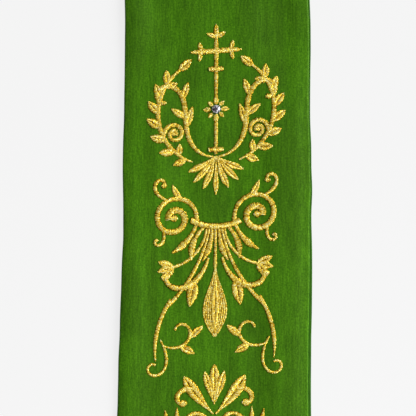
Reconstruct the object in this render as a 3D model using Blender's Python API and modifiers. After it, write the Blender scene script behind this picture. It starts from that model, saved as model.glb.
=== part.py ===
"""A clergy stole laid flat on a table: two lined halves that meet in a seam at the nape.

Metres. +Z is up off the table, +Y runs from the hems to the nape, and the origin is on the table
under the middle of the stole. The half on the -X side is "left", as seen from above.
"""

import math

import bmesh
import bpy

# The cut.
FRONT_LENGTH = 1.080  # from the hem to the shoulder line, where the neck curve starts
NECK_RADIUS = 0.070  # inner edge of the neck curve
NAPE_WIDTH = 0.100
# Inner edge and width of a front, at heights above the hem.
FRONT_CUT = [
    {"up": 0.000, "inner": 0.0655, "width": 0.1450},
    {"up": 0.150, "inner": 0.0650, "width": 0.1388},
    {"up": 0.250, "inner": 0.0645, "width": 0.1362},
    {"up": 0.320, "inner": 0.0648, "width": 0.1345},
    {"up": 0.450, "inner": 0.0660, "width": 0.1330},
    {"up": 0.760, "inner": 0.0680, "width": 0.1270},
    {"up": FRONT_LENGTH, "inner": NECK_RADIUS, "width": 0.1200},
]
# The edges wander a little, where the turned seam puckers the cloth.
WANDER = [{"waves": 9, "reach": 0.00040}, {"waves": 16, "reach": 0.00025}]
WANDER_FADE = 0.100  # no wander this near the hem and the shoulder line
INNER_PHASE = 0.0
OUTER_PHASE = 2.0

# The cloth.
LINING_THICKNESS = 0.0010
CLEARANCE = 0.0003  # between the lining, the face and the crystals
FACE_TURNED_THICKNESS = 0.0018  # at most, over the turned-in seam allowance
FACE_THICKNESS = 0.0013
# Face thickness at distances from a finished edge.
TURNING = [
    {"from_edge": 0.0000, "thickness": 0.0010},
    {"from_edge": 0.0025, "thickness": 0.0015},
    {"from_edge": 0.0065, "thickness": FACE_TURNED_THICKNESS},
    {"from_edge": 0.0150, "thickness": FACE_THICKNESS},
]
LINING_PEEK = 0.0012  # the lining shows past the face along the inner edge
LINING_INSET = 0.0010  # and stays back from the outer edge and the hem
SEAM_GAP = 0.0003  # between the halves, at the nape

# The mesh of a half: rows along it and columns across it.
FRONT_ROWS = 36
NECK_ROWS = 9
MIDDLE_COLUMNS = 4

# Where the cloth stands off the table in soft rises: place, half length, half breadth, height
# and lean in degrees. "across" is the share of the width from the inner edge.
RISES = {
    "left": [
        {"up": 0.060, "across": 0.96, "long": 0.080, "broad": 0.042, "high": 0.0032, "lean": 12},
        {"up": 0.205, "across": 0.06, "long": 0.110, "broad": 0.026, "high": 0.0008, "lean": -3},
        {"up": 0.310, "across": 0.95, "long": 0.120, "broad": 0.030, "high": 0.0009, "lean": 4},
        {"up": 0.550, "across": 0.04, "long": 0.092, "broad": 0.050, "high": 0.0042, "lean": -14},
        {"up": 0.690, "across": 0.92, "long": 0.120, "broad": 0.058, "high": 0.0038, "lean": 9},
        {"up": 0.830, "across": 0.30, "long": 0.080, "broad": 0.052, "high": 0.0025, "lean": 38},
        {"up": 0.985, "across": 0.88, "long": 0.100, "broad": 0.052, "high": 0.0048, "lean": -10},
    ],
    "right": [
        {"up": 0.055, "across": 0.05, "long": 0.072, "broad": 0.040, "high": 0.0028, "lean": 10},
        {"up": 0.190, "across": 0.94, "long": 0.100, "broad": 0.034, "high": 0.0013, "lean": 4},
        {"up": 0.415, "across": 0.08, "long": 0.100, "broad": 0.030, "high": 0.0011, "lean": -6},
        {"up": 0.580, "across": 0.95, "long": 0.112, "broad": 0.052, "high": 0.0045, "lean": 13},
        {"up": 0.740, "across": 0.20, "long": 0.090, "broad": 0.056, "high": 0.0031, "lean": -28},
        {"up": 0.930, "across": 0.90, "long": 0.118, "broad": 0.050, "high": 0.0040, "lean": 7},
    ],
}

# The sew-on crystals, one in the middle of each front.
CRYSTAL_UP = 0.3715
CRYSTAL_RADIUS = 0.0031
CRYSTAL_TABLE_RADIUS = 0.0016
CRYSTAL_GIRDLE = 0.0006
CRYSTAL_HEIGHT = 0.0024
CRYSTAL_SIDES = 12
WELD = 0.00001

SIDES = {"left": -1, "right": 1}
HEM_Y = -(FRONT_LENGTH + NECK_RADIUS + NAPE_WIDTH) / 2
SHOULDER_Y = HEM_Y + FRONT_LENGTH
QUARTER_TURN = math.pi / 2

FINISHES = {
    "face_cloth": {"colour": (0.057, 0.156, 0.007), "roughness": 0.62},
    "lining_cloth": {"colour": (0.030, 0.108, 0.004), "roughness": 0.50},
    "crystal": {"colour": (0.80, 0.82, 0.86), "roughness": 0.08},
}


def smooth_value(table, value, up):
    """The table's value at a height above the hem, on a smooth line through its rows."""
    last = len(table) - 1
    i = max(k for k in range(last) if k == 0 or table[k]["up"] <= up)
    span = table[i + 1]["up"] - table[i]["up"]
    share = (up - table[i]["up"]) / span

    def slope(k):
        low, high = table[max(k - 1, 0)], table[min(k + 1, last)]
        return (high[value] - low[value]) / (high["up"] - low["up"]) * span

    squared = share**2
    cubed = share**3
    return (
        (2 * cubed - 3 * squared + 1) * table[i][value]
        + (cubed - 2 * squared + share) * slope(i)
        + (3 * squared - 2 * cubed) * table[i + 1][value]
        + (cubed - squared) * slope(i + 1)
    )


def face_thickness(from_edge):
    for near, far in zip(TURNING, TURNING[1:]):
        if from_edge <= far["from_edge"]:
            share = (from_edge - near["from_edge"]) / (far["from_edge"] - near["from_edge"])
            return near["thickness"] + share * (far["thickness"] - near["thickness"])
    return FACE_THICKNESS


def wander(up, phase):
    """How far an edge strays from its line."""
    fade = max(0.0, min(1.0, up / WANDER_FADE, (FRONT_LENGTH - up) / WANDER_FADE))
    turn = 2 * math.pi * up / FRONT_LENGTH
    return fade * sum(wave["reach"] * math.sin(wave["waves"] * turn + phase) for wave in WANDER)


def section_ends(along, side):
    """The inner and the outer end of a half's section, at a distance from the hem."""
    if along <= FRONT_LENGTH:
        inner = smooth_value(FRONT_CUT, "inner", along)
        outer = inner + smooth_value(FRONT_CUT, "width", along)
        inner += wander(along, INNER_PHASE + side)
        outer += wander(along, OUTER_PHASE + side)
        return (side * inner, HEM_Y + along), (side * outer, HEM_Y + along)
    angle = (along - FRONT_LENGTH) / NECK_RADIUS
    share = angle / QUARTER_TURN
    width = FRONT_CUT[-1]["width"] * (1 - share) + NAPE_WIDTH * share
    ends = []
    for radius in (NECK_RADIUS, NECK_RADIUS + width):
        x = max(radius * math.cos(angle), SEAM_GAP / 2)
        ends.append((side * x, SHOULDER_Y + radius * math.sin(angle)))
    return tuple(ends)


def lift(side_name, up, from_inner, width):
    """Height of the cloth's underside above the table."""
    height = 0.0
    for rise in RISES[side_name]:
        lean = math.radians(rise["lean"])
        forward = up - rise["up"]
        outward = from_inner - rise["across"] * width
        along = forward * math.cos(lean) + outward * math.sin(lean)
        across = outward * math.cos(lean) - forward * math.sin(lean)
        reach = (along / rise["long"]) ** 2 + (across / rise["broad"]) ** 2
        if reach < 1:
            height += rise["high"] * (1 - reach) ** 2
    return height


def row_places():
    """Distances from the hem, closer together over the hem's turning."""
    turned = [row["from_edge"] for row in TURNING]
    front = [FRONT_LENGTH * k / FRONT_ROWS for k in range(1, FRONT_ROWS + 1)]
    neck_length = NECK_RADIUS * QUARTER_TURN
    neck = [FRONT_LENGTH + neck_length * k / NECK_ROWS for k in range(1, NECK_ROWS + 1)]
    return turned + front + neck


def column_places(width):
    """Distances from the inner edge, closer together over the turned edges."""
    turned = [row["from_edge"] for row in TURNING]
    step = (width - 2 * turned[-1]) / (MIDDLE_COLUMNS + 1)
    middle = [turned[-1] + step * k for k in range(1, MIDDLE_COLUMNS + 1)]
    return turned + middle + [width - place for place in reversed(turned)]


def make_sheet(name, side_name, height, moves, thickness_at, finish, collection):
    """A cloth wall on a half's outline: its underside at a height above what the cloth lies on,
    its inner edge, outer edge and hem moved, and its thickness set by the distance from an edge."""
    side = SIDES[side_name]
    rows = row_places()
    last_row = len(rows) - 1
    last_column = len(column_places(NAPE_WIDTH)) - 1
    grid = bmesh.new()
    bmesh.ops.create_grid(grid, x_segments=last_column, y_segments=last_row, size=1)
    thicknesses = []
    for vertex in grid.verts:
        column = round((vertex.co.x + 1) / 2 * last_column)
        row = round((vertex.co.y + 1) / 2 * last_row)
        along = rows[row]
        inner, outer = section_ends(along, side)
        width = math.dist(inner, outer)
        from_inner = column_places(width)[column]
        from_edge = min(from_inner, width - from_inner, along)
        thicknesses.append(thickness_at(from_edge))
        moved = from_inner
        if column == 0:
            moved += moves["inner"]
        elif column == last_column:
            moved += moves["outer"]
        share = moved / width
        x = inner[0] + (outer[0] - inner[0]) * share
        y = inner[1] + (outer[1] - inner[1]) * share
        if row == 0:
            y += moves["hem"]
        vertex.co = (x, y, height + lift(side_name, along, from_inner, width))
    bmesh.ops.recalc_face_normals(grid, faces=grid.faces)
    if sum(face.normal.z for face in grid.faces) < 0:
        bmesh.ops.reverse_faces(grid, faces=grid.faces)
    mesh = bpy.data.meshes.new(name)
    grid.to_mesh(mesh)
    grid.free()

    sheet = make_node(name, mesh, finish, collection)
    group = sheet.vertex_groups.new(name="thickness")
    for index, thickness in enumerate(thicknesses):
        group.add([index], thickness / max(thicknesses), "REPLACE")
    wall = sheet.modifiers.new("wall", "SOLIDIFY")
    wall.thickness = max(thicknesses)
    wall.offset = 1
    wall.vertex_group = group.name


def make_node(name, mesh, finish, collection):
    node = bpy.data.objects.new(name, mesh)
    mesh.materials.append(finish)
    collection.objects.link(node)
    return node


def make_material(name):
    material = bpy.data.materials.new(name)
    material.use_nodes = True
    shader = material.node_tree.nodes["Principled BSDF"]
    shader.inputs["Base Color"].default_value = (*FINISHES[name]["colour"], 1)
    shader.inputs["Roughness"].default_value = FINISHES[name]["roughness"]
    shader.inputs["Metallic"].default_value = 0.0
    return material


def make_lining(side_name, finish, collection):
    moves = {"inner": -LINING_PEEK, "outer": -LINING_INSET, "hem": LINING_INSET}
    make_sheet(
        side_name + "_lining", side_name, 0.0, moves, lambda _: LINING_THICKNESS, finish, collection
    )


def make_face(side_name, finish, collection):
    moves = {"inner": 0.0, "outer": 0.0, "hem": 0.0}
    height = LINING_THICKNESS + CLEARANCE
    make_sheet(
        side_name + "_face", side_name, height, moves, face_thickness, finish, collection
    )


def make_crystal(side_name, finish, collection):
    """A flat-backed stone with a table, a faceted crown and a girdle, in the middle of a front."""
    profile = [
        (0.0, CRYSTAL_HEIGHT),
        (CRYSTAL_TABLE_RADIUS, CRYSTAL_HEIGHT),
        (CRYSTAL_RADIUS, CRYSTAL_GIRDLE),
        (CRYSTAL_RADIUS, 0.0),
        (0.0, 0.0),
    ]
    mesh = bpy.data.meshes.new(side_name + "_crystal")
    outline = bmesh.new()
    corners = [outline.verts.new((radius, 0, height)) for radius, height in profile]
    for upper, lower in zip(corners, corners[1:]):
        outline.edges.new((upper, lower))
    outline.to_mesh(mesh)
    outline.free()
    stone = make_node(side_name + "_crystal", mesh, finish, collection)
    turn = stone.modifiers.new("turn", "SCREW")
    turn.steps = CRYSTAL_SIDES
    turn.render_steps = CRYSTAL_SIDES
    turn.use_merge_vertices = True
    turn.merge_threshold = WELD
    inner, outer = section_ends(CRYSTAL_UP, SIDES[side_name])
    width = math.dist(inner, outer)
    cloth_top = LINING_THICKNESS + CLEARANCE + FACE_THICKNESS
    cloth_top += lift(side_name, CRYSTAL_UP, width / 2, width)
    stone.location = ((inner[0] + outer[0]) / 2, inner[1], cloth_top + CLEARANCE)


def main():
    for old in list(bpy.data.objects):
        bpy.data.objects.remove(old)
    collection = bpy.data.collections.new("clergy_stole")
    bpy.context.scene.collection.children.link(collection)
    finishes = {name: make_material(name) for name in FINISHES}
    for side_name in SIDES:
        make_lining(side_name, finishes["lining_cloth"], collection)
        make_face(side_name, finishes["face_cloth"], collection)
        make_crystal(side_name, finishes["crystal"], collection)


main()
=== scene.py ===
"""The looks of a clergy stole laid flat: two slubbed green halves on their linings, with a mirrored
pair of gold satin-stitch embroideries and a crystal in each cross.

Metres in the frame of the CAD: +Z up off the table, +Y from the hems to the nape. The embroidery is
drawn in millimetres from its crystal: across is positive towards the stole's inner edge, up towards
the nape.
"""

import math

import bmesh
import bpy
import numpy as np
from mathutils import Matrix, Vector, noise
from mathutils.bvhtree import BVHTree


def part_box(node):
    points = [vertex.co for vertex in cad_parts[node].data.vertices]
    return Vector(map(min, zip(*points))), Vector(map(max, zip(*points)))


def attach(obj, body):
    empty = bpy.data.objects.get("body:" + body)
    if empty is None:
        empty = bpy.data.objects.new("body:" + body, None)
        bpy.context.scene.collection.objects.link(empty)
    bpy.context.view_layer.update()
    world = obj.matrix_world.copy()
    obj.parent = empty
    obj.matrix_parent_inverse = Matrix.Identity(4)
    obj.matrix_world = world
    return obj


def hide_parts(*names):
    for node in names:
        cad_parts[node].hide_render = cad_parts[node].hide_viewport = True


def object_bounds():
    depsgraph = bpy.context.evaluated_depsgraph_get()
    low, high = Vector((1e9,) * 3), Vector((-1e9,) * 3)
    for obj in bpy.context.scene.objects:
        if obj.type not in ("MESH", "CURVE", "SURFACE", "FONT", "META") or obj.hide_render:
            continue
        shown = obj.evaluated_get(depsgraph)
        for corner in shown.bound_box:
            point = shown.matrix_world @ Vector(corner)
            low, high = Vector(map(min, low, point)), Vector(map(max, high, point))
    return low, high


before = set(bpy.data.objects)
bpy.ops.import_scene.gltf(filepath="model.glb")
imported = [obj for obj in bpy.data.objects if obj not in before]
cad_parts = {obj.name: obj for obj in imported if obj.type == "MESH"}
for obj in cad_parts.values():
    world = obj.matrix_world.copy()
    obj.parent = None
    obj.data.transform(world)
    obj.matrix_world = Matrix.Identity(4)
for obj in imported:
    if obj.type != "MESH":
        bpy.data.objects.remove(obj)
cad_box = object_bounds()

MM = 0.001
SIDES = {"left": -1, "right": 1}

# The cut, as the CAD has it.
NECK_RADIUS = 0.070
NAPE_WIDTH = 0.100
HEM_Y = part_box("left_face")[0].y
SHOULDER_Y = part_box("left_face")[1].y - NECK_RADIUS - NAPE_WIDTH
FRONT_LENGTH = SHOULDER_Y - HEM_Y
LENGTH = FRONT_LENGTH + NECK_RADIUS * math.pi / 2  # along the inner edge
SEAM_GAP = 0.3 * MM
NAPE_GAP = 0.04 * MM  # the halves are sewn together edge to edge there
WELD = 0.01 * MM
HEM_REACH = 0.3 * MM
# The CAD's soft rises are read on a grid of this many rows and columns.
LIFT_ROWS = 120
LIFT_COLUMNS = 17

# How finely the cloth is made, and its turned edges.
FACE_STEP = 2.3 * MM
LINING_STEP = 5.0 * MM
EDGE_PLACES = [0.0, 0.15 * MM, 0.4 * MM, 0.8 * MM, 1.4 * MM, 2.4 * MM, 4.0 * MM]
FACE_TOP_ROUND = 1.0 * MM
FACE_UNDER_ROUND = 0.25 * MM
LINING_THICKNESS = 1.0 * MM
LINING_ROUND = 0.45 * MM
# How far a face's thickness passes 1.3 mm at distances in from an edge, in mm: the seam allowance
# is turned in there, and the edge rolls.
TURNING = {
    "outer": [
        (0.0, -0.1), (1.2, 0.22), (3.0, 0.45), (5.0, 0.58), (7.0, 0.56), (10.0, 0.42), (14.0, 0.20),
        (18.0, 0.06), (23.0, 0.0), (60.0, 0.0),
    ],
    "inner": [
        (0.0, -0.1), (2.0, 0.05), (4.0, 0.30), (6.0, 0.70), (8.0, 1.08), (10.0, 1.34), (12.0, 1.42),
        (16.0, 1.52), (20.0, 1.60), (24.0, 1.54), (28.0, 1.22), (32.0, 0.68), (36.0, 0.22),
        (42.0, 0.0), (60.0, 0.0),
    ],
    "hem": [(0.0, -0.1), (2.0, 0.7), (5.0, 1.1), (10.0, 0.9), (20.0, 0.3), (30.0, 0.0), (60.0, 0.0)],
}
FACE_THICKNESS = 1.3 * MM

# Where the puckered edges stray from the cut, in mm outwards, at heights above the hem. The left
# front's rows from 156 to 450 mm are measured offsets, and the others are given.
STRAY = {
    "left": {
        "outer": [
            (0, 0.0), (40, 0.6), (85, -0.5), (120, 0.5), (156, -0.3), (173, 0.6), (190, 0.9),
            (208, 0.1), (225, 0.1), (243, -0.2), (260, -0.5), (277, -0.9), (294, 0.0), (312, 0.5),
            (329, 0.6), (346, 0.1), (364, -0.7), (381, -0.8), (398, -0.9), (416, -0.9), (433, -0.8),
            (450, -0.3), (500, 0.5), (560, -0.4), (640, 0.6), (700, -0.5), (800, 0.5), (900, -0.4),
            (1000, 0.4), (1190, 0.0),
        ],
        "inner": [
            (0, 0.0), (60, 0.5), (110, -0.4), (156, -0.2), (190, 0.2), (208, 0.6), (225, 0.3),
            (260, -0.1), (294, -0.3), (312, -0.7), (329, 0.4), (346, 0.3), (364, 0.6), (381, 0.4),
            (398, -0.1), (416, -0.8), (433, -0.6), (450, 0.3), (520, -0.4), (600, 0.4), (720, -0.4),
            (860, 0.4), (1000, -0.3), (1190, 0.0),
        ],
    },
    "right": {
        "outer": [
            (0, 0.0), (50, -0.5), (100, 0.5), (150, -0.3), (190, 0.5), (230, -0.7), (262, 0.3),
            (300, -0.6), (330, 0.4), (370, -0.9), (410, -0.2), (450, -0.7), (520, 0.4), (600, -0.5),
            (690, 0.5), (800, -0.4), (930, 0.5), (1060, -0.3), (1190, 0.0),
        ],
        "inner": [
            (0, 0.0), (70, -0.4), (130, 0.4), (180, -0.3), (215, 0.5), (250, -0.4), (290, 0.5),
            (335, -0.5), (380, 0.4), (420, -0.5), (470, 0.4), (560, -0.4), (650, 0.5), (780, -0.4),
            (900, 0.4), (1040, -0.3), (1190, 0.0),
        ],
    },
}
# How much further back than in the CAD a face's inner edge lies on its lining, in mm, at heights: it bares
# a strip of the lining, whose darker green is painted shade.
PEEK = {
    "left": [(0, 0.5), (150, 0.9), (225, 0.9), (270, 0.6), (310, 0.1), (360, 0.0), (450, 0.2), (1190, 0.0)],
    "right": [(0, 0.3), (180, 0.7), (240, 0.2), (330, 0.5), (420, 0.0), (700, 0.4), (1190, 0.0)],
}
# Soft creases of a face, in mm: heights above the hem, distances from the inner edge, half length,
# half breadth, height (a trough's is negative) and lean in degrees.
CREASE_COLUMNS = ("up", "in", "long", "broad", "high", "lean")
CREASES = {
    "left": [
        (205, 127, 112, 15, 1.10, 1), (212, 96, 66, 15, -0.25, 5), (336, 109, 96, 20, 1.20, -2),
        (442, 126, 50, 17, 1.35, 2), (432, 20, 84, 20, -2.40, 2), (430, 46, 60, 16, 0.60, 4),
        (290, 40, 92, 14, 0.40, 3), (186, 48, 52, 14, 0.40, -7), (300, 72, 44, 13, 0.25, 12),
        (376, 58, 26, 14, -0.25, 16), (425, 100, 56, 17, -0.55, 8), (120, 76, 48, 20, -0.35, 18),
        (70, 34, 66, 16, 0.50, -8), (36, 103, 40, 18, -0.40, 12), (560, 88, 90, 22, -0.60, 14),
        (610, 40, 60, 16, 0.70, -22), (705, 64, 85, 20, -0.60, 7), (790, 92, 55, 15, 0.60, -26),
        (880, 24, 80, 17, 0.55, 9), (955, 66, 64, 19, -0.70, 24), (1050, 30, 58, 14, 0.60, -15),
        (1120, 74, 30, 16, 0.55, 34), (1158, 36, 26, 13, -0.45, -30),
    ],
    "right": [
        (192, 126, 104, 15, 1.00, -1), (226, 94, 74, 15, -0.30, -4), (352, 107, 96, 17, 0.55, 3),
        (432, 17, 60, 15, -1.40, -3), (420, 44, 52, 15, 0.50, -5), (290, 48, 60, 16, -0.30, -6),
        (372, 66, 34, 14, 0.28, 14), (450, 84, 48, 18, 0.40, 8), (100, 70, 60, 18, 0.45, -14),
        (62, 98, 44, 15, -0.40, 10), (28, 40, 34, 17, -0.35, -20), (545, 36, 76, 18, 0.65, 16),
        (630, 84, 66, 20, -0.60, -12), (728, 52, 72, 16, 0.60, 28), (812, 26, 60, 14, -0.50, -8),
        (874, 88, 78, 21, 0.65, 11), (968, 46, 56, 15, -0.60, -24), (1040, 80, 62, 18, 0.60, 18),
        (1132, 40, 32, 14, 0.50, -34),
    ],
}
# Small puckers along the turned edges, in mm.
PUCKERS = [
    {"length": 17.0, "high": 0.10, "phase": 0.4},
    {"length": 10.7, "high": 0.09, "phase": 2.1},
    {"length": 6.3, "high": 0.05, "phase": 4.0},
]
PUCKER_REACH = 5.0
LUMPS = [{"size": 24.0, "high": 0.10}, {"size": 9.0, "high": 0.045}]

# The thread, in mm. Real machine thread is 0.4 mm across, too fine to show: it is drawn coarser.
THREAD_WIDTH = 0.72
THREAD_SPACING = 0.64
STITCH_HALF = 1.5  # half width of the stroke that the plain stitch spans
STITCH_CROWN = 0.95
STITCH_STEPS = 6
UNEVEN_TURN = 6  # degrees
UNEVEN_LENGTH = 0.16  # as a share of the plain stitch
NARROWEST = 0.30
DRAWN_STEP = 0.5
# How far the hoop was off square: the motif's level lines rise towards the inner edge, and its
# middle shifts outwards on the way down.
HOOP = [
    {"up": -270, "degrees": 0.5, "shift": -1.4},
    {"up": -220, "degrees": 1.0, "shift": -1.35},
    {"up": -185, "degrees": 1.9, "shift": -1.25},
    {"up": -130, "degrees": 2.7, "shift": -0.85},
    {"up": -50, "degrees": 3.4, "shift": -0.25},
    {"up": 40, "degrees": 4.0, "shift": 0.0},
]
STITCH_ENDS = 0.25  # the stitches reach this much past the drawn widths, where they dive


def linked(name, data):
    """A new object in the scene, of this mesh, light or camera."""
    made = bpy.data.objects.new(name, data)
    bpy.context.scene.collection.objects.link(made)
    return made


def mesh_from(name, made):
    mesh = bpy.data.meshes.new(name)
    made.to_mesh(mesh)
    made.free()
    return mesh


# ---------------------------------------------------------------- cloth


def through(knots, values, at):
    """Values on a smooth curve through the knots, each knot's slope taken from its neighbours."""
    values = np.asarray(values, float)
    slopes = np.gradient(values, knots, axis=0)
    i = np.clip(np.searchsorted(knots, at, side="right") - 1, 0, len(knots) - 2)
    spread = (slice(None),) + (None,) * (values.ndim - 1)
    span = (knots[i + 1] - knots[i])[spread]
    t = (at - knots[i])[spread] / span
    return (
        (2 * t**3 - 3 * t**2 + 1) * values[i]
        + (t**3 - 2 * t**2 + t) * span * slopes[i]
        + (3 * t**2 - 2 * t**3) * values[i + 1]
        + (t**3 - t**2) * span * slopes[i + 1]
    )


def plan(along, out, side):
    """Where a place is on the table, from its distance from the hem and how far out it is."""
    angle = np.maximum(along - FRONT_LENGTH, 0) / NECK_RADIUS
    x = side * np.maximum(out * np.cos(angle), NAPE_GAP / 2)
    on_front = along < FRONT_LENGTH
    y = np.where(on_front, HEM_Y + along, SHOULDER_Y + out * np.sin(angle))
    return x, y


def cut_edges(node):
    """A CAD cloth's inner and outer edge, each as distances from the hem line and how far out the
    edge is there."""
    mesh = bmesh.new()
    mesh.from_mesh(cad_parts[node].data)
    bmesh.ops.remove_doubles(mesh, verts=mesh.verts, dist=WELD)
    hem = min(vertex.co.y for vertex in mesh.verts)
    edges = {"inner": {}, "outer": {}}
    for edge in mesh.edges:
        if sum(face.normal.z > 0.5 for face in edge.link_faces) != 1:
            continue
        for vertex in edge.verts:
            x, beyond = abs(vertex.co.x), vertex.co.y - SHOULDER_Y
            if x < SEAM_GAP:
                continue
            if vertex.co.y < hem + HEM_REACH:
                beyond = hem - SHOULDER_Y
            along = FRONT_LENGTH + (beyond if beyond < 0 else NECK_RADIUS * math.atan2(beyond, x))
            out = x if beyond < 0 else math.hypot(x, beyond)
            row = round(along, 5)
            if out < NECK_RADIUS + NAPE_WIDTH / 4:
                edges["inner"][row] = min(out, edges["inner"].get(row, out))
            else:
                edges["outer"][row] = max(out, edges["outer"].get(row, out))
    mesh.free()
    edges["inner"][LENGTH] = edges["inner"][max(edges["inner"])]
    edges["outer"][LENGTH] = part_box(node)[1].y - SHOULDER_Y
    return [np.array(sorted(edge.items())).T for edge in edges.values()]


def places(length, step):
    """Distances from one end of a length to the other, closest together at both ends."""
    count = int((length - 2 * EDGE_PLACES[-1]) / step)
    middle = np.linspace(EDGE_PLACES[-1], length - EDGE_PLACES[-1], count + 1)[1:-1]
    return np.array(EDGE_PLACES + list(middle) + [length - place for place in reversed(EDGE_PLACES)])


def softened(heights):
    """Heights on a grid with its facets smoothed out."""
    for _ in range(3):
        for axis in (0, 1):
            heights = np.moveaxis(heights, axis, 0)
            padded = np.concatenate([heights[:1], heights, heights[-1:]])
            heights = (padded[:-2] + 2 * padded[1:-1] + padded[2:]) / 4
            heights = np.moveaxis(heights, 0, axis)
    return heights


def strayed(table, along):
    """A table's shifts at distances from the hem."""
    ups, shifts = np.array(table, float).T * MM
    return through(ups, shifts, np.clip(along, ups[0], ups[-1] - MM))


def cloth_grid(side_name, part, step):
    """Places a step apart on a CAD cloth: each one's point on the cloth's underside, and its
    distances from the hem, the nape, the inner edge and the outer edge."""
    node = f"{side_name}_{part}"
    side = SIDES[side_name]
    inner, outer = cut_edges(node)
    first, last = inner[0][0], inner[0][-1]

    cad = BVHTree.FromObject(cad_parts[node], bpy.context.evaluated_depsgraph_get())
    rows = np.linspace(first, last, LIFT_ROWS)
    shares = np.linspace(0.01, 0.99, LIFT_COLUMNS)
    lifts = np.zeros((LIFT_ROWS, LIFT_COLUMNS))
    for index in np.ndindex(lifts.shape):
        along = min(max(rows[index[0]], first + 0.5 * MM), last - 0.5 * MM)
        low, high = np.interp(along, *inner), np.interp(along, *outer)
        x, y = plan(np.array(along), low + (high - low) * shares[index[1]], side)
        lifts[index] = cad.ray_cast(Vector((x, y, -1)), Vector((0, 0, 1)))[0].z
    lifts = softened(lifts)

    along = first + places(last - first, step)
    low, high = through(*inner, along), through(*outer, along)
    low += strayed(STRAY[side_name]["inner"], along)
    high += strayed(STRAY[side_name]["outer"], along)
    if part == "face":
        low += strayed(PEEK[side_name], along)
    middle_width = float(np.mean(high - low))
    fine_shares = places(middle_width, step) / middle_width
    out = low[:, None] + (high - low)[:, None] * fine_shares
    x, y = plan(along[:, None], out, side)
    z = through(rows, lifts, along)
    z = through(shares, z.T, np.clip(fine_shares, shares[0], shares[-1])).T
    distances = {
        "hem": np.broadcast_to((along - first)[:, None], out.shape),
        "nape": np.broadcast_to((last - along)[:, None], out.shape),
        "inner": out - low[:, None],
        "outer": high[:, None] - out,
    }
    return np.stack([x, y, z], axis=-1), distances


def rounding(distances, radius):
    """How far the cloth turns down towards its edges."""
    d = np.minimum.reduce(list(distances.values()))
    short = np.clip(radius - d, 0, radius)
    return radius - np.sqrt(radius**2 - short**2)


def crease_relief(side_name, distances):
    up = distances["hem"] / MM
    inward = distances["inner"] / MM
    height = np.zeros_like(up)
    for row in CREASES[side_name]:
        crease = dict(zip(CREASE_COLUMNS, row))
        lean = math.radians(crease["lean"])
        forward = up - crease["up"]
        sideways = inward - crease["in"]
        along = forward * math.cos(lean) + sideways * math.sin(lean)
        across = sideways * math.cos(lean) - forward * math.sin(lean)
        reach = (along / crease["long"]) ** 2 + (across / crease["broad"]) ** 2
        height += crease["high"] * np.clip(1 - reach, 0, 1) ** 2
    return height * MM


def pucker_relief(distances):
    up = distances["hem"] / MM
    height = np.zeros_like(up)
    for edge, start in (("inner", 0.0), ("outer", 1.7)):
        near = np.exp(-distances[edge] / MM / PUCKER_REACH)
        for pucker in PUCKERS:
            turn = 2 * math.pi * up / pucker["length"] + pucker["phase"] + start
            height += near * pucker["high"] * np.sin(turn + 0.8 * np.sin(up / 31 + start))
    return height * MM


def lump_relief(points):
    height = np.zeros(points.shape[:2])
    for lump in LUMPS:
        scale = 1 / (lump["size"] * MM)
        for index in np.ndindex(height.shape):
            x, y, _ = points[index] * scale
            height[index] += lump["high"] * noise.noise((x, y, 0.0))
    return height * MM


def shell(name, top, under, material):
    """A closed cloth from the points of its top and of its underside."""
    rows, columns = top.shape[:2]
    index = np.arange(rows * columns).reshape(rows, columns)
    quads = np.stack([index[:-1, :-1], index[1:, :-1], index[1:, 1:], index[:-1, 1:]], axis=-1)
    quads = quads.reshape(-1, 4)
    rim = np.concatenate([index[0], index[1:, -1], index[-1, -2::-1], index[-2::-1, 0]])
    below = rows * columns
    sides = np.stack([rim[:-1], rim[1:], rim[1:] + below, rim[:-1] + below], axis=-1)
    faces = np.concatenate([quads, quads[:, ::-1] + below, sides])
    mesh = bpy.data.meshes.new(name)
    points = np.concatenate([top.reshape(-1, 3), under.reshape(-1, 3)])
    mesh.from_pydata(points.tolist(), [], faces.tolist())
    made = bmesh.new()
    made.from_mesh(mesh)
    bmesh.ops.recalc_face_normals(made, faces=made.faces)
    made.to_mesh(mesh)
    made.free()
    mesh.shade_smooth()
    mesh.materials.append(material)
    return linked(name, mesh)


def finish_cloth(piece, node):
    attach(piece, "root")
    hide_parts(node)


def make_lining(side_name, material):
    under, distances = cloth_grid(side_name, "lining", LINING_STEP)
    top = under.copy()
    top[..., 2] += LINING_THICKNESS - rounding(distances, LINING_ROUND)
    under[..., 2] += rounding(distances, LINING_ROUND)
    return shell(side_name + "_lining_cloth", top, under, material), top


def make_face(side_name, material):
    under, distances = cloth_grid(side_name, "face", FACE_STEP)
    thickness = np.full(under.shape[:2], FACE_THICKNESS)
    for edge, table in TURNING.items():
        depths, extra = np.array(table).T * MM
        near = np.minimum(distances[edge], depths[-1] - 0.01 * MM)
        thickness += through(depths, extra, near.ravel()).reshape(near.shape)
    relief = crease_relief(side_name, distances)
    relief += pucker_relief(distances) + lump_relief(under)
    top = under.copy()
    top[..., 2] += thickness + relief - rounding(distances, FACE_TOP_ROUND)
    under[..., 2] += rounding(distances, FACE_UNDER_ROUND)
    top[..., 2] = np.maximum(top[..., 2], under[..., 2] + 0.1 * MM)
    return shell(side_name + "_face_cloth", top, under, material), top


# ---------------------------------------------------------------- the embroidery's drawing


def stroke(*rows, slant=12, over=0.0):
    """A row of satin stitches along rows of (across, up, width). The slant is the threads' turn
    from square to the stroke in degrees, and over is how far it is padded up."""
    return {"rows": np.array(rows, float), "slant": slant, "over": over}


def spiral(centre, radii, start, sweep, widths):
    """Rows of a curl from its outer to its inner radius, its angles in degrees."""
    count = max(4, round(abs(sweep) / 30))
    rows = []
    for k in range(count + 1):
        share = k / count
        angle = math.radians(start + sweep * share)
        radius = radii[0] + (radii[1] - radii[0]) * share**0.9
        width = widths[0] + (widths[1] - widths[0]) * share
        rows.append((centre[0] + radius * math.cos(angle), centre[1] + radius * math.sin(angle), width))
    return rows


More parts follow.
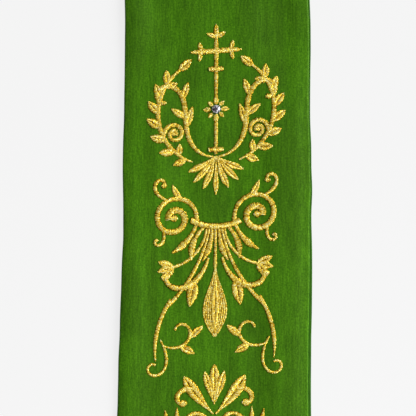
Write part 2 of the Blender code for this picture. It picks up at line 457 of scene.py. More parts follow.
def leaf(base, tip, width, fullest=0.42, bend=0.0, over=0.0):
    """A leaf as two rows of satin that meet on its vein, with their threads slanting to the tip.
    fullest is the widest place's share of the way, and bend how far the vein bows."""
    base, tip = np.array(base, float), np.array(tip, float)
    along = tip - base
    side = np.array([-along[1], along[0]]) / np.linalg.norm(along)
    power = math.log(0.5) / math.log(fullest)
    halves = []
    for hand in (1, -1):
        rows = []
        for share in np.linspace(0, 1, 9):
            full = width * math.sin(math.pi * share**power) ** 0.8
            full = max(full, 0.1 * width)
            vein = base + along * share + side * bend * math.sin(math.pi * share)
            middle = vein + side * hand * full / 4
            rows.append((*middle, full / 2 + 0.25))
        halves.append(stroke(*rows, slant=-32 * hand, over=over))
    return halves


def ball(centre, radius):
    """A round knot of satin."""
    rows = []
    for share in np.linspace(-0.95, 0.95, 7):
        rows.append((centre[0] + radius * share, centre[1], 2 * radius * math.sqrt(1 - share**2)))
    return stroke(*rows, slant=4, over=0.15)


def mirrored(strokes):
    """The strokes, and their mirror images across the embroidery's middle."""
    images = []
    for one in strokes:
        rows = one["rows"] * (-1, 1, 1)
        images.append({"rows": rows, "slant": -one["slant"], "over": one["over"]})
    return strokes + images


def bough(root, heading, length, turn, widths, curl=0.0, slant=10, over=0.0):
    """A stroke that leaves its root on a heading and bends as it goes: evenly by turn degrees, and
    by curl degrees more towards its tip. It bends left where these are positive."""
    count = max(5, round(length / 4), round((abs(turn) + 2.5 * abs(curl)) / 25))
    place = np.array(root, float)
    rows = []
    for share in np.linspace(0, 1, count + 1):
        rows.append((*place, np.interp(share, np.linspace(0, 1, len(widths)), widths)))
        way = math.radians(heading + turn * share + curl * share**3)
        place = place + length / count * np.array([math.cos(way), math.sin(way)])
    return stroke(*rows, slant=slant, over=over)


def leaf_towards(base, heading, length, width, **shape):
    way = math.radians(heading)
    tip = np.array(base, float) + length * np.array([math.cos(way), math.sin(way)])
    return leaf(base, tip, width, **shape)


def leaf_on(stem, share, turn, length, width, **shape):
    """A leaf that leaves a stem at a share of its way, turned from it by so many degrees."""
    line = drawn(stem["rows"])[:, :2]
    k = int(share * (len(line) - 2)) + 1
    ahead = line[min(k + 1, len(line) - 1)] - line[k - 1]
    heading = math.degrees(math.atan2(ahead[1], ahead[0])) + turn
    return leaf_towards(line[k], heading, length, width, **shape)


def end_of(stem):
    return stem["rows"][-1][:2]


def cross():
    """A budded cross with eight petals round the stone and a fan of leaves at its foot."""
    plain = [
        stroke((0, 56, 1.4), (0, 50, 2.8), (0, 27, 2.8), (0, 4, 2.8)),
        stroke((0, -4, 2.8), (0, -18, 2.8), (0, -32, 2.8)),
        stroke((-18, 42, 1.4), (-14, 42, 3.2), (0, 42, 3.6), (14, 42, 3.2), (18, 42, 1.4)),
        stroke((-5, 29, 3.0), (0, 29, 3.8), (5, 29, 3.0), over=0.3),
        stroke((-5, -29, 3.0), (0, -29, 3.8), (5, -29, 3.0), over=0.3),
    ]
    plain += leaf((0, 52), (0, 61), 3.6)
    for number in range(8):
        turn = 45 * number
        root = (3.6 * math.cos(math.radians(turn)), 3.6 * math.sin(math.radians(turn)))
        plain += leaf_towards(root, turn, 4.0 if number % 2 else 5.4, 2.8 if number % 2 else 3.6)
    plain += leaf_towards((0, -34), -90, 27, 3.6, fullest=0.7)
    pairs = leaf((0.8, 52), (6.4, 55), 3.2)
    pairs += leaf((11, 43), (12, 48.5), 3.0) + leaf((11, 41), (12, 35.5), 3.0)
    for fan_turn, length in ((20, 24), (41, 23), (62, 21)):
        pairs += leaf_towards((0.8, -34), -90 + fan_turn, length, 4.4, fullest=0.66, bend=-1.0)
    return plain + mirrored(pairs)


# The leaves of the sprays beside the cross: each one's share of the way up its stem, its turn from
# the stem in degrees (outwards is negative), its length and its width in mm.
SPRAY_LEAVES = [
    {"share": 0.06, "turn": -50, "length": 9.6, "width": 5.2},
    {"share": 0.19, "turn": -46, "length": 10.4, "width": 5.8},
    {"share": 0.32, "turn": -42, "length": 10.8, "width": 6.0},
    {"share": 0.45, "turn": -40, "length": 11.0, "width": 6.0},
    {"share": 0.58, "turn": -40, "length": 11.0, "width": 6.0},
    {"share": 0.71, "turn": -38, "length": 10.6, "width": 5.8},
    {"share": 0.84, "turn": -36, "length": 9.8, "width": 5.4},
    {"share": 0.13, "turn": 56, "length": 8.0, "width": 4.6},
    {"share": 0.82, "turn": 48, "length": 8.4, "width": 4.8},
]


def side_sprays():
    """A lyre's arms beside the cross, and outside them a spray of leaves with two curled tendrils:
    plain ornament in place of lettering."""
    arm = bough((2.4, -34), 8, 88, 270, (1.2, 3.8, 4.2, 3.8, 2.4), curl=-470)
    stem = bough((17, -37), 24, 82, 122, (1.2, 3.3, 3.5, 3.4, 2.0), slant=8)
    spray = [
        arm,
        ball(end_of(arm), 1.9),
        stem,
        stroke(*spiral((30, -16), (7.6, 1.5), 0, 560, (3.4, 2.5))),
        ball((30, -16), 1.7),
    ]
    spray += leaf_on(arm, 0.36, 24, 15, 5.2) + leaf_on(arm, 0.60, 38, 12, 4.8)
    spray += leaf_on(arm, 0.44, -52, 12, 5.0)
    for one in SPRAY_LEAVES:
        spray += leaf_on(stem, one["share"], one["turn"], one["length"], one["width"])
    spray += leaf_on(stem, 1.0, 0, 11, 6.0)
    return mirrored(spray)


def great_scrolls():
    """A collar, and on each side of it a scroll that thickens to its eye, with curled shoots."""
    collar = bough((-17.5, -79), -28, 36.6, 56, (4.2, 4.6, 4.2), over=0.35)
    scroll = stroke(*spiral((30, -77), (17, 3.6), 190, -560, (3.2, 5.6)), slant=9)
    upper = bough(scroll["rows"][4][:2], 22, 28, 72, (1.8, 2.9, 2.8, 2.2), curl=230)
    lower = bough(scroll["rows"][8][:2], -100, 19, 30, (1.8, 2.4, 2.2, 1.8), curl=250)
    sides = [scroll, ball((30, -77), 2.6), upper, ball(end_of(upper), 1.9)]
    sides += [lower, ball(end_of(lower), 1.5)]
    sides += leaf((25, -63), (31, -53), 4.2, bend=-0.8)
    return [collar] + mirrored(sides)


DROP_TOP = -110.0
DROP_LENGTH = 55.0
DROP_HALF = 8.8
DROP_RIBS = [0.92, 0.75, 0.58, 0.41, 0.24, 0.07]  # their places, as shares of the half width
DROP_RIB_WIDTH = 0.15


def drop():
    """The ribbed drop that hangs under the fan, with a raised leaf in its heart."""
    ribs = []
    for number, place in enumerate(DROP_RIBS):
        rows = []
        for share in np.linspace(0.03, 0.97, 11):
            half = DROP_HALF * math.sin(math.pi * share**1.5) ** 1.1
            rows.append((place * half, DROP_TOP - share * DROP_LENGTH, DROP_RIB_WIDTH * half))
        ribs.append(stroke(*rows, slant=24 if number % 2 else -24))
    stem = [stroke((0, -86, 2.4), (0, -98, 2.0), (0, -113, 2.6))]
    return mirrored(ribs) + stem + leaf((0, -120), (0, -157), 6.0, fullest=0.6, over=0.25)


# What hangs from the collar on each side: where it starts, its heading, length and bend in degrees
# and its widths along the way.
FAN = [
    {"root": (14, -83), "heading": -66, "length": 26, "turn": 44, "widths": (2.4, 3.4, 5.4, 1.2)},
    {"root": (9, -85), "heading": -48, "length": 25, "turn": -52, "widths": (2.4, 3.2, 5.4, 1.2)},
    {"root": (2.5, -86), "heading": -88, "length": 24, "turn": 34, "widths": (2.2, 3.2, 5.0, 1.0)},
]


def fan():
    """Leaves, a budded stem and a sickle that hang from the collar."""
    sides = []
    for one in FAN:
        sides.append(bough(one["root"], one["heading"], one["length"], one["turn"], one["widths"]))
    bud_stem = bough((6.5, -86), -80, 38, 72, (1.8, 2.2, 2.2), slant=8)
    long_stem = bough((4.5, -86), -78, 64, 36, (1.8, 2.7, 2.9), slant=8)
    sickle = bough((5, -107), -72, 46, 66, (1.6, 3.4, 5.2, 4.2, 3.0), curl=110, over=0.25)
    sides += [bud_stem, long_stem, sickle, ball(end_of(sickle), 3.0)]
    for turn in (-38, 0, 38):
        sides += leaf_on(bud_stem, 1.0, turn, 11.0, 5.6)
    sides += leaf_on(sickle, 0.42, -38, 18.0, 8.0)
    return mirrored(sides)


def vines():
    """A vine that hangs from each long stem, with a leafy tendril and a curl at its foot."""
    vine = bough((32, -136), -58, 46, -40, (2.9, 3.2, 3.0, 0.8), slant=8)
    foot = bough((39, -165), -118, 46, 60, (1.4, 2.1, 2.1, 1.7), curl=290, slant=8)
    tendril = bough((37, -169), 204, 42, -150, (1.4, 2.4, 2.3, 1.8), curl=-150, slant=8)
    sides = [vine, foot, tendril]
    sides += leaf_on(tendril, 0.30, 50, 11.0, 5.4) + leaf_on(tendril, 0.52, 30, 12.0, 5.0)
    return mirrored(sides)


def palmette():
    """Three upright leaves between two plumes, with a hook outside each plume."""
    middle = leaf((0, -212), (0, -184), 6.6, fullest=0.7)
    hook = bough((13, -201), 10, 24, -70, (2.6, 3.8, 3.8, 2.8), curl=-150)
    sides = [hook, ball(end_of(hook), 2.8)]
    sides += leaf_towards((1, -210), 74, 22, 5.2, fullest=0.62)
    sides += leaf_towards((1, -219), 52, 34, 9.0, fullest=0.66, bend=-1.2)
    return middle + mirrored(sides)


def tailpiece():
    """A plain pair of scrolls that closes the design above the hem."""
    curl = spiral((12, -227), (11, 1.8), -52, 520, (3.3, 2.6))
    sides = [
        stroke((1, -251, 0.8), (6.6, -244, 2.8), (13.4, -239.4, 3.4), *curl),
        ball((12, -227), 2.0),
        bough((16.6, -239.4), 42, 28, 60, (2.2, 5.2, 5.0, 0.6)),
        bough((20.4, -238.2), 30, 28, 60, (2.2, 5.2, 5.6, 0.6)),
    ]
    sides += leaf((1.6, -249), (10, -262), 4.0)
    return mirrored(sides) + leaf((0, -247), (0, -268), 6.2, fullest=0.5)


GROUPS = {
    "cross": cross,
    "side_sprays": side_sprays,
    "great_scrolls": great_scrolls,
    "fan": fan,
    "drop": drop,
    "vines": vines,
    "palmette": palmette,
    "tailpiece": tailpiece,
}


# ---------------------------------------------------------------- the embroidery's stitches


def drawn(rows):
    """A stroke's rows made smooth, with a point every half millimetre."""
    steps = np.hypot(*np.diff(rows[:, :2], axis=0).T)
    knots = np.concatenate([[0], np.cumsum(steps)])
    fine = through(knots, rows, np.linspace(0, knots[-1], max(3, int(knots[-1] / DRAWN_STEP))))
    fine[:, 2] = np.maximum(fine[:, 2], NARROWEST)
    return fine


def hooped(across, up):
    """A drawn place as the slightly askew hoop had it."""
    heights = [row["up"] for row in HOOP]
    degrees = np.interp(up, heights, [row["degrees"] for row in HOOP])
    shift = np.interp(up, heights, [row["shift"] for row in HOOP])
    return across + shift, up + across * np.tan(np.radians(degrees))


def stroke_lines(name, strokes, side_name, cloth):
    """The strokes as lines on the cloth, with each point's half width and slant."""
    side = SIDES[side_name]
    low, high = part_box(side_name + "_crystal")
    middle = (low + high) / 2
    points, edges, halves, slants = [], [], [], []
    for one in strokes:
        first = len(points)
        for across, up, width in drawn(one["rows"]):
            across, up = hooped(across, up)
            x = middle.x - side * across * MM
            y = middle.y + up * MM
            hit = cloth.ray_cast(Vector((x, y, 1.0)), Vector((0, 0, -1)))[0]
            points.append((x, y, hit.z + one["over"] * MM))
            halves.append((width + STITCH_ENDS) / 2 * MM)
            slants.append(math.radians(one["slant"]) * -side)
        edges += [(k, k + 1) for k in range(first, len(points) - 1)]
    mesh = bpy.data.meshes.new(name)
    mesh.from_pydata(points, edges, [])
    for attribute, values in (("half_width", halves), ("slant", slants)):
        mesh.attributes.new(attribute, "FLOAT", "POINT").data.foreach_set("value", values)
    return linked(name, mesh)


def plain_stitch():
    """One thread over a stroke of the plain width: it comes up, crosses over and goes down."""
    made = bmesh.new()
    crown_shading = made.verts.layers.float.new("crown_shading")
    half = THREAD_WIDTH / 2
    # A thread's section, across and up, with each corner's share of painted light: full on top, less on the
    # sides, which are painted in shade.
    section = [(-half, -0.7 * half, 0.45), (0.0, 0.2 * half, 1.0), (half, -0.7 * half, 0.45)]
    rings = []
    for k in range(STITCH_STEPS + 1):
        share = 2 * k / STITCH_STEPS - 1
        share = math.copysign(abs(share) ** 0.6, share)
        height = STITCH_CROWN * (1 - abs(share) ** 2) ** 0.6 - 0.12
        ring = []
        for y, z, light in section:
            vertex = made.verts.new((STITCH_HALF * share * MM, y * MM, (height + z) * MM))
            # This layer holds painted light for the thread's colour: it fades to painted shade towards the
            # ends where the stitch dives.
            vertex[crown_shading] = light * (1 - abs(share) ** 2.8)
            ring.append(vertex)
        rings.append(ring)
    for near, far in zip(rings, rings[1:]):
        for k in range(len(section)):
            following = (k + 1) % len(section)
            made.faces.new((near[k], near[following], far[following], far[k]))
    made.faces.new(reversed(rings[0]))
    made.faces.new(rings[-1])
    bmesh.ops.recalc_face_normals(made, faces=made.faces)
    mesh = mesh_from("plain_stitch", made)
    mesh.shade_smooth()
    return linked("plain_stitch", mesh)


def add(tree, kind, values=None, links=None, **settings):
    """Adds a node: its own settings, the values of its inputs, and what is linked to them."""
    node = tree.nodes.new(kind)
    for name, value in settings.items():
        setattr(node, name, value)
    for socket, value in (values or {}).items():
        node.inputs[socket].default_value = value
    for socket, source in (links or {}).items():
        tree.links.new(source, node.inputs[socket])
    return node


def satin_tree():
    """Satin stitches across the lines of strokes, each as long as the stroke is wide there."""
    tree = bpy.data.node_groups.new("satin_stitches", "GeometryNodeTree")
    for name, kind in (
        ("Strokes", "NodeSocketGeometry"),
        ("Stitch", "NodeSocketObject"),
        ("Stitch half width", "NodeSocketFloat"),
        ("Thread spacing", "NodeSocketFloat"),
        ("Uneven turn", "NodeSocketFloat"),
        ("Uneven length", "NodeSocketFloat"),
        ("Thread", "NodeSocketMaterial"),
    ):
        tree.interface.new_socket(name, in_out="INPUT", socket_type=kind)
    tree.interface.new_socket("Stitches", in_out="OUTPUT", socket_type="NodeSocketGeometry")
    given = add(tree, "NodeGroupInput").outputs

    half = add(
        tree, "GeometryNodeInputNamedAttribute", {"Name": "half_width"}, data_type="FLOAT"
    ).outputs["Attribute"]
    slant = add(
        tree, "GeometryNodeInputNamedAttribute", {"Name": "slant"}, data_type="FLOAT"
    ).outputs["Attribute"]
    curve = add(tree, "GeometryNodeMeshToCurve", links={"Mesh": given["Strokes"]})
    even = add(
        tree,
        "GeometryNodeResampleCurve",
        links={"Curve": curve.outputs["Curve"], "Length": given["Thread spacing"]},
        mode="LENGTH",
    )
    points = add(
        tree, "GeometryNodeCurveToPoints", links={"Curve": even.outputs["Curve"]}, mode="EVALUATED"
    )
    facing = add(
        tree,
        "FunctionNodeAlignRotationToVector",
        links={"Vector": points.outputs["Tangent"]},
        axis="Y",
        pivot_axis="Z",
    )

    def random_value(seed, low, high):
        node = add(tree, "FunctionNodeRandomValue", {"Seed": seed}, data_type="FLOAT")
        for name, source in (("Min", low), ("Max", high)):
            socket = next(s for s in node.inputs if s.name == name and s.type == "VALUE")
            if isinstance(source, float):
                socket.default_value = source
            else:
                tree.links.new(source, socket)
        return next(s for s in node.outputs if s.type == "VALUE")

    less = add(tree, "ShaderNodeMath", {0: -1.0}, {1: given["Uneven turn"]}, operation="MULTIPLY")
    wobble = random_value(3, less.outputs[0], given["Uneven turn"])
    angle = add(tree, "ShaderNodeMath", links={0: slant, 1: wobble}, operation="ADD")
    turn = add(tree, "FunctionNodeAxisAngleToRotation", {"Axis": (0, 0, 1)}, {"Angle": angle.outputs[0]})
    rotation = add(
        tree,
        "FunctionNodeRotateRotation",
        links={"Rotation": facing.outputs["Rotation"], "Rotate By": turn.outputs["Rotation"]},
        rotation_space="LOCAL",
    )

    shorter = add(tree, "ShaderNodeMath", {0: -1.0}, {1: given["Uneven length"]}, operation="MULTIPLY")
    share = add(tree, "ShaderNodeMath", links={0: half, 1: given["Stitch half width"]}, operation="DIVIDE")
    length = add(
        tree,
        "ShaderNodeMath",
        links={0: share.outputs[0], 1: random_value(5, shorter.outputs[0], given["Uneven length"])},
        operation="ADD",
    )
    lean = add(tree, "ShaderNodeMath", links={0: slant}, operation="COSINE")
    reach = add(
        tree, "ShaderNodeMath", links={0: length.outputs[0], 1: lean.outputs[0]}, operation="DIVIDE"
    )
    padding = add(
        tree,
        "ShaderNodeMapRange",
        {"From Min": 0.2, "From Max": 3.0, "To Min": 0.6, "To Max": 1.35},
        {"Value": share.outputs[0]},
    )
    height = add(
        tree,
        "ShaderNodeMath",
        links={0: padding.outputs["Result"], 1: random_value(13, 0.92, 1.06)},
        operation="MULTIPLY",
    )
    scale = add(tree, "ShaderNodeCombineXYZ", {"Y": 1.0}, {"X": reach.outputs[0], "Z": height.outputs[0]})
    stitch = add(tree, "GeometryNodeObjectInfo", links={"Object": given["Stitch"]})
    placed = add(
        tree,
        "GeometryNodeInstanceOnPoints",
        links={
            "Points": points.outputs["Points"],
            "Instance": stitch.outputs["Geometry"],
            "Rotation": rotation.outputs["Rotation"],
            "Scale": scale.outputs["Vector"],
        },
    )
    strand = add(
        tree,
        "GeometryNodeStoreNamedAttribute",
        {"Name": "strand"},
        {"Geometry": placed.outputs["Instances"], "Value": random_value(8, 0.0, 1.0)},
        data_type="FLOAT",
        domain="INSTANCE",
    )
    real = add(tree, "GeometryNodeRealizeInstances", links={"Geometry": strand.outputs["Geometry"]})
    finished = add(
        tree,
        "GeometryNodeSetMaterial",
        links={"Geometry": real.outputs["Geometry"], "Material": given["Thread"]},
    )
    add(tree, "NodeGroupOutput", links={"Stitches": finished.outputs["Geometry"]})
    return tree


def stitched(name, lines, tree, stitch, thread):
    """The lines' satin stitches, as a plain mesh."""
    modifier = lines.modifiers.new("satin", "NODES")
    modifier.node_group = tree
    inputs = {
        "Stitch": stitch,
        "Stitch half width": STITCH_HALF * MM,
        "Thread spacing": THREAD_SPACING * MM,
        "Uneven turn": math.radians(UNEVEN_TURN),
        "Uneven length": UNEVEN_LENGTH,
        "Thread": thread,
    }
    for socket in tree.interface.items_tree:
        if socket.name in inputs:
            modifier[socket.identifier] = inputs[socket.name]
    graph = bpy.context.evaluated_depsgraph_get()
    mesh = bpy.data.meshes.new_from_object(
        lines.evaluated_get(graph), preserve_all_data_layers=True, depsgraph=graph
    )
    mesh.name = name
    piece = linked(name, mesh)
    bpy.data.objects.remove(lines)
    return piece


def make_embroidery(side_name, cloth, tree, stitch, thread):
    pieces = []
    for group, strokes in GROUPS.items():
        name = f"{side_name}_{group}_embroidery"
        lines = stroke_lines(name + "_lines", strokes(), side_name, cloth)
        piece = stitched(name, lines, tree, stitch, thread)
        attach(piece, "root")
        pieces.append(piece)
    return pieces


# ---------------------------------------------------------------- the crystals


# Rings of a flat-backed stone: how many corners, shares of its radius and height, and the share of
# a step that the ring is turned by.
CRYSTAL_RINGS = [
    {"corners": 8, "radius": 0.42, "height": 1.00, "turn": 0.2},
    {"corners": 8, "radius": 0.76, "height": 0.80, "turn": 0.7},
    {"corners": 16, "radius": 1.00, "height": 0.48, "turn": 0.0},
    {"corners": 16, "radius": 1.00, "height": 0.10, "turn": 0.0},
    {"corners": 16, "radius": 0.90, "height": 0.00, "turn": 0.0},
]
CRYSTAL_ABOVE_CLOTH = 0.3 * MM
# Painted reflections: one facet after another is painted light or dark, each this much of a turn further
# on.
FACET_TURN = 0.618


def make_crystal(side_name, cloth, material):
    node = side_name + "_crystal"
    low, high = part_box(node)
    middle = (low + high) / 2
    radius = (high.x - low.x) / 2
    height = high.z - low.z
    seat = cloth.ray_cast(Vector((middle.x, middle.y, 1.0)), Vector((0, 0, -1)))[0].z
    seat += CRYSTAL_ABOVE_CLOTH
    made = bmesh.new()
    for ring in CRYSTAL_RINGS:
        for k in range(ring["corners"]):
            angle = 2 * math.pi * (k + ring["turn"]) / ring["corners"]
            out = radius * ring["radius"]
            x = middle.x + out * math.cos(angle)
            y = middle.y + out * math.sin(angle)
            made.verts.new((x, y, seat + height * ring["height"]))
    bmesh.ops.convex_hull(made, input=made.verts)
    bmesh.ops.dissolve_limit(made, angle_limit=math.radians(1), verts=made.verts, edges=made.edges)
    mesh = mesh_from(node + "_stone", made)
    facets = mesh.attributes.new("facet", "FLOAT", "FACE")
    # Each face's painted reflection, as a place on a ramp from dark to white.
    facets.data.foreach_set("value", [k * FACET_TURN % 1 for k in range(len(mesh.polygons))])
    mesh.materials.append(material)
    stone = linked(node + "_stone", mesh)
    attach(stone, "root")
    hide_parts(node)
    return stone


# ---------------------------------------------------------------- materials


def colour(code):
    """An sRGB hex colour as linear red, green, blue and alpha."""
    parts = [int(code[k : k + 2], 16) / 255 for k in (0, 2, 4)]
    linear = [c / 12.92 if c <= 0.04045 else ((c + 0.055) / 1.055) ** 2.4 for c in parts]
    return (*linear, 1.0)


def blank_material(name):
    material = bpy.data.materials.new(name)
    material.use_nodes = True
    material.node_tree.nodes.clear()
    return material, material.node_tree


def set_stops(node, stops):
    """Gives a colour ramp its (place, colour) stops."""
    elements = node.color_ramp.elements
    for element, (position, code) in ((elements[0], stops[0]), (elements[1], stops[-1])):
        element.position = position
        element.color = colour(code)
    for position, code in stops[1:-1]:
        elements.new(position).color = colour(code)


def woven_noise(tree, place, across_mm, along_mm, detail, roughness):
    """A noise as long across and along the warp as its threads."""
    size = (1 / (across_mm * MM), 1 / (along_mm * MM), 1.0)
    scaled = add(tree, "ShaderNodeMapping", {"Scale": size}, {"Vector": place})
    values = {"Scale": 1.0, "Detail": detail, "Roughness": roughness}
    links = {"Vector": scaled.outputs["Vector"]}
    return add(tree, "ShaderNodeTexNoise", values, links, noise_dimensions="2D").outputs["Fac"]


def close_material(tree, shader):
    add(tree, "ShaderNodeOutputMaterial", links={"Surface": shader.outputs[0]})


def slub_dupion():
    """Slubbed polyester dupion: thick and thin warp threads run up the stole as fine streaks, a
    close weft crosses them, and the satin-like float of the warp gives a low sheen."""
    material, tree = blank_material("slubbed_dupion")
    place = add(tree, "ShaderNodeTexCoord").outputs["Object"]

    slubs = woven_noise(tree, place, 1.4, 13.0, 2.0, 0.6)
    warp = woven_noise(tree, place, 0.8, 1.6, 1.0, 0.5)
    weft = woven_noise(tree, place, 2.4, 0.9, 1.0, 0.5)
    patches = woven_noise(tree, place, 30.0, 44.0, 2.0, 0.5)
    bands = woven_noise(tree, place, 9.0, 120.0, 1.0, 0.5)
    streaks = add(tree, "ShaderNodeMath", {1: 0.40}, {0: slubs}, operation="MULTIPLY")
    for layer, weight in ((warp, 0.38), (weft, 0.22)):
        streaks = add(
            tree,
            "ShaderNodeMath",
            {1: weight},
            {0: layer, 2: streaks.outputs[0]},
            operation="MULTIPLY_ADD",
        )
    shade = add(tree, "ShaderNodeValToRGB", links={"Fac": streaks.outputs[0]})
    set_stops(shade, ((0.34, "285802"), (0.50, "3A6D06"), (0.66, "4B820E")))
    uneven = add(tree, "ShaderNodeMath", links={0: patches, 1: bands}, operation="ADD")
    patchy = add(
        tree,
        "ShaderNodeMapRange",
        {"From Min": 0.75, "From Max": 1.25, "To Min": 0.73, "To Max": 1.05},
        {"Value": uneven.outputs[0]},
    )
    toned = add(
        tree,
        "ShaderNodeVectorMath",
        links={0: shade.outputs["Color"], 1: patchy.outputs["Result"]},
        operation="MULTIPLY",
    )
    gloss = add(
        tree,
        "ShaderNodeMapRange",
        {"From Min": 0.35, "From Max": 0.65, "To Min": 0.66, "To Max": 0.50},
        {"Value": streaks.outputs[0]},
    )
    bump = add(
        tree,
        "ShaderNodeBump",
        {"Strength": 0.5, "Distance": 0.25 * MM},
        {"Height": streaks.outputs[0]},
    )
    shader = add(
        tree,
        "ShaderNodeBsdfPrincipled",
        {"IOR": 1.46, "Specular Tint": colour("CBFF76")},
        {
            "Base Color": toned.outputs["Vector"],
            "Roughness": gloss.outputs["Result"],
            "Normal": bump.outputs["Normal"],
        },
    )
    close_material(tree, shader)
    return material


def shade_darkened_lining():
    """Acetate lining satin, close and smooth, with faint warp lines: its green is darker than the face's,
    painted shade for the strip that shows beside the face's inner edge.
    """
    material, tree = blank_material("shade_darkened_lining")
    place = add(tree, "ShaderNodeTexCoord").outputs["Object"]
    warp = woven_noise(tree, place, 0.5, 12.0, 1.0, 0.5)
    tone = add(tree, "ShaderNodeValToRGB", links={"Fac": warp})
    # Painted shade: greens darker than the face's.
    set_stops(tone, ((0.3, "244E04"), (0.7, "3A6E0E")))
    bump = add(tree, "ShaderNodeBump", {"Strength": 0.3, "Distance": 0.1 * MM}, {"Height": warp})
    shader = add(
        tree,
        "ShaderNodeBsdfPrincipled",
        {"Roughness": 0.42, "IOR": 1.47, "Specular IOR Level": 0.15},
        {"Base Color": tone.outputs["Color"], "Normal": bump.outputs["Normal"]},
    )
    close_material(tree, shader)
    return material


# From a stitch's sunken end and shaded sides to its crown: painted shade in dark browns, up to a painted
# highlight in pale yellow.
GOLD_SHADE_AND_HIGHLIGHT_STOPS = [
    (0.12, "3E2200"), (0.30, "8C620A"), (0.42, "DAA61C"), (0.58, "F8D83E"), (0.80, "FFF06C"),
    (1.0, "FFFAC0"),
]


def gold_thread():
    """Metallised rayon embroidery thread in yellow gold, with painted light: a painted highlight on a
    stitch's crown and brown painted shade on its sides and where it dives into the cloth, with strands
    of slightly different tone. Specks of painted glitter stand for its twist, drawn at 0.85 mm because
    the real ones, at 0.3 mm, are too fine to show."""
    material, tree = blank_material("gold_rayon_thread")
    # The crown layer paints light and shade: a highlight on a stitch's top, shade on its sides and ends.
    crown_shading = add(tree, "ShaderNodeAttribute", attribute_name="crown_shading").outputs["Fac"]
    strand = add(tree, "ShaderNodeAttribute", attribute_name="strand").outputs["Fac"]
    sunken = add(
        tree,
        "ShaderNodeMapRange",
        {"From Min": 0.0, "From Max": 0.32, "To Min": 1.7, "To Max": 0.8},
        {"Value": strand},
    )
    shown = add(tree, "ShaderNodeMath", links={0: crown_shading, 1: sunken.outputs["Result"]}, operation="POWER")
    raised = add(tree, "ShaderNodeMath", {1: 0.84}, {0: shown.outputs[0]}, operation="MULTIPLY")
    lit = add(
        tree,
        "ShaderNodeMath",
        {1: 0.20},
        {0: strand, 2: raised.outputs[0]},
        operation="MULTIPLY_ADD",
    )
    place = add(tree, "ShaderNodeTexCoord").outputs["Object"]
    # Painted glints of the thread's twist.
    twist = add(tree, "ShaderNodeTexNoise", {"Scale": 1 / (0.85 * MM), "Detail": 0.0}, {"Vector": place})
    glitter = add(
        tree,
        "ShaderNodeMapRange",
        {"From Min": 0.32, "From Max": 0.68, "To Min": 0.60, "To Max": 1.26},
        {"Value": twist.outputs["Fac"]},
    )
    speckled = add(
        tree,
        "ShaderNodeMath",
        links={0: lit.outputs[0], 1: glitter.outputs["Result"]},
        operation="MULTIPLY",
    )
    tone = add(tree, "ShaderNodeValToRGB", links={"Fac": speckled.outputs[0]})
    set_stops(tone, GOLD_SHADE_AND_HIGHLIGHT_STOPS)
    shader = add(
        tree,
        "ShaderNodeBsdfPrincipled",
        {"Metallic": 0.45, "Roughness": 0.30, "Specular Tint": colour("FFE49A")},
        {"Base Color": tone.outputs["Color"]},
    )
    close_material(tree, shader)
    return material


def crystal_with_painted_reflections():
    """Foil-backed lead crystal: the foil makes every facet a small mirror, and each facet is also
    painted a reflection, some white as if lit and some nearly black."""
    material, tree = blank_material("crystal_with_painted_reflections")
    facet = add(tree, "ShaderNodeAttribute", attribute_name="facet").outputs["Fac"]
    # Painted reflections in steps: nearly black, greys and white.
    tone = add(tree, "ShaderNodeValToRGB", links={"Fac": facet})
    tone.color_ramp.interpolation = "CONSTANT"
    set_stops(
        tone,
        ((0.0, "141014"), (0.28, "4A4650"), (0.44, "A09EA6"), (0.58, "D9D9DE"), (0.72, "F7F7FA")),
    )
    shader = add(
        tree,
        "ShaderNodeBsdfPrincipled",
        {"Metallic": 0.25, "Roughness": 0.12, "Coat Weight": 1.0, "Coat Roughness": 0.02},
        {"Base Color": tone.outputs["Color"]},
    )
    close_material(tree, shader)
    return material


def lit_table():
    """Opal light-table top: it glows evenly, so that what lies on it hardly throws a shadow."""
    material, tree = blank_material("opal_light_table")
    shader = add(
        tree,
        "ShaderNodeBsdfPrincipled",
        {
            "Base Color": colour("5C5C5C"),
            "Roughness": 0.9,
            "Emission Color": colour("FFFFFF"),
            "Emission Strength": 0.785,
        },
    )
    close_material(tree, shader)
    return material


# ---------------------------------------------------------------- stage, lights and camera

FLOOR_SIZE = 40.0
FLOOR_BELOW = 0.05 * MM
WORLD_STRENGTH = 0.27
KEY = {"energy": 4.5, "spread": 35, "towards": (0.90, 0.32, 0.44)}
WINDOW = {"energy": 1.2, "size": 0.5, "from_foot": (0.25, -0.25, 0.45)}
VIEW_SIZE = 0.300  # of the stretch of table that the picture holds
VIEW_ABOVE_CRYSTAL = -71.1 * MM
VIEW_OUTWARD = 5.9 * MM
CAMERA_HEIGHT = 1.30
SENSOR = 36.0


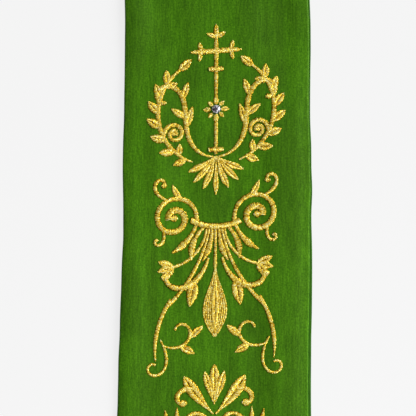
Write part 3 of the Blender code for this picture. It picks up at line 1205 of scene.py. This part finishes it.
def make_stage():
    made = bmesh.new()
    bmesh.ops.create_grid(made, x_segments=1, y_segments=1, size=FLOOR_SIZE / 2)
    mesh = mesh_from("floor", made)
    mesh.materials.append(lit_table())
    floor = linked("floor", mesh)
    floor.location.z = cad_box[0].z - FLOOR_BELOW


def make_lights():
    world = bpy.data.worlds.new("studio")
    bpy.context.scene.world = world
    world.use_nodes = True
    background = world.node_tree.nodes["Background"]
    background.inputs["Color"].default_value = colour("FFFFFF")
    background.inputs["Strength"].default_value = WORLD_STRENGTH
    sun = bpy.data.lights.new("key", "SUN")
    sun.energy = KEY["energy"]
    sun.angle = math.radians(KEY["spread"])
    key = linked("key", sun)
    key.rotation_euler = Vector(KEY["towards"]).to_track_quat("Z", "Y").to_euler()

    low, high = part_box("left_crystal")
    foot = (low + high) / 2 + Vector((-VIEW_OUTWARD, VIEW_ABOVE_CRYSTAL - VIEW_SIZE / 2, 0))
    window = bpy.data.lights.new("window", "AREA")
    window.energy = WINDOW["energy"]
    window.size = WINDOW["size"]
    low_light = linked("window", window)
    low_light.location = foot + Vector(WINDOW["from_foot"])
    low_light.rotation_euler = (low_light.location - foot).to_track_quat("Z", "Y").to_euler()


def make_camera():
    low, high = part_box("left_crystal")
    middle = (low + high) / 2
    data = bpy.data.cameras.new("camera")
    data.sensor_width = SENSOR
    data.lens = SENSOR * CAMERA_HEIGHT / VIEW_SIZE
    camera = linked("camera", data)
    camera.location = (middle.x - VIEW_OUTWARD, middle.y + VIEW_ABOVE_CRYSTAL, CAMERA_HEIGHT)
    bpy.context.scene.camera = camera
    bpy.context.scene.view_settings.view_transform = "Standard"


def main():
    make_stage()
    make_lights()
    make_camera()
    face_material = slub_dupion()
    lining_material = shade_darkened_lining()
    thread = gold_thread()
    crystal = crystal_with_painted_reflections()
    tree = satin_tree()
    stitch = plain_stitch()
    for side_name in SIDES:
        lining, lining_points = make_lining(side_name, lining_material)
        face, face_points = make_face(side_name, face_material)
        cloth = BVHTree.FromObject(face, bpy.context.evaluated_depsgraph_get())
        embroidery = make_embroidery(side_name, cloth, tree, stitch, thread)
        stone = make_crystal(side_name, cloth, crystal)
        finish_cloth(lining, side_name + "_lining")
        finish_cloth(
            face, side_name + "_face"
        )
    bpy.data.objects.remove(stitch)


main()
